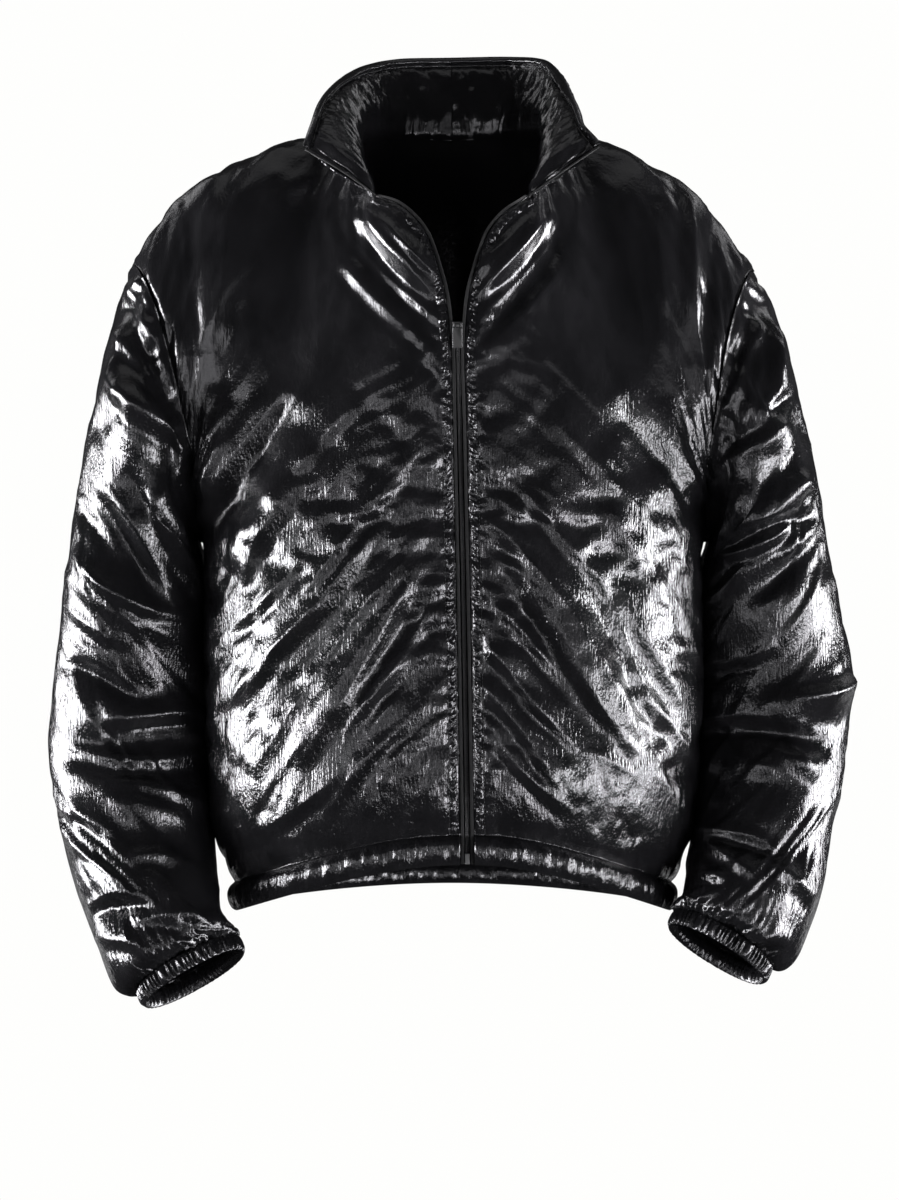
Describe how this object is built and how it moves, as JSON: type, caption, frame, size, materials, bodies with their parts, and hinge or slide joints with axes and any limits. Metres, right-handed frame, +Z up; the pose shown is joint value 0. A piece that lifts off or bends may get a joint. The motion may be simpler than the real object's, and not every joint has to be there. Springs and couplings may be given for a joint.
{
  "type": "puffer jacket",
  "caption": "Loose padded jacket in glossy black nylon, worn shape: open stand collar, dropped sleeves, elastic cuffs, corded hem and a front zip with a swinging pull tab.",
  "frame": {"origin": "the middle of the neck's base, where the wearer's shoulders hold the jacket", "axes": "+Z up along the jacket, the front faces -Y, the wearer's right side is at -X"},
  "size_m": [0.7478, 0.3332, 0.8917],
  "materials": {
    "shell_nylon": "high-gloss coated nylon, finely crinkled",
    "elastic_cuff": "gathered glossy nylon over elastic",
    "zip_tape": "matte woven tape",
    "zip_chain": "satin moulded coil",
    "zip_metal": "satin black enamel"
  },
  "bodies": {
    "jacket": {"front_right": "shell_nylon", "front_left": "shell_nylon", "back": "shell_nylon", "sleeve_right": "shell_nylon", "sleeve_left": "shell_nylon", "collar": "shell_nylon", "hem_band": "shell_nylon", "cuff_right": "elastic_cuff", "cuff_left": "elastic_cuff", "zip_tape_right": "zip_tape", "zip_tape_left": "zip_tape", "zip_chain": "zip_chain", "zip_box": "zip_metal", "zip_slider": "zip_metal"},
    "zip_pull": {"zip_pull": "zip_metal"}
  },
  "joints": [
    {"name": "pull_swing", "type": "hinge", "parent": "jacket", "child": "zip_pull", "pos_m": [0.00467, -0.16572, -0.182], "axis": [-1, 0, 0], "range_deg": [0, 165]}
  ]
}
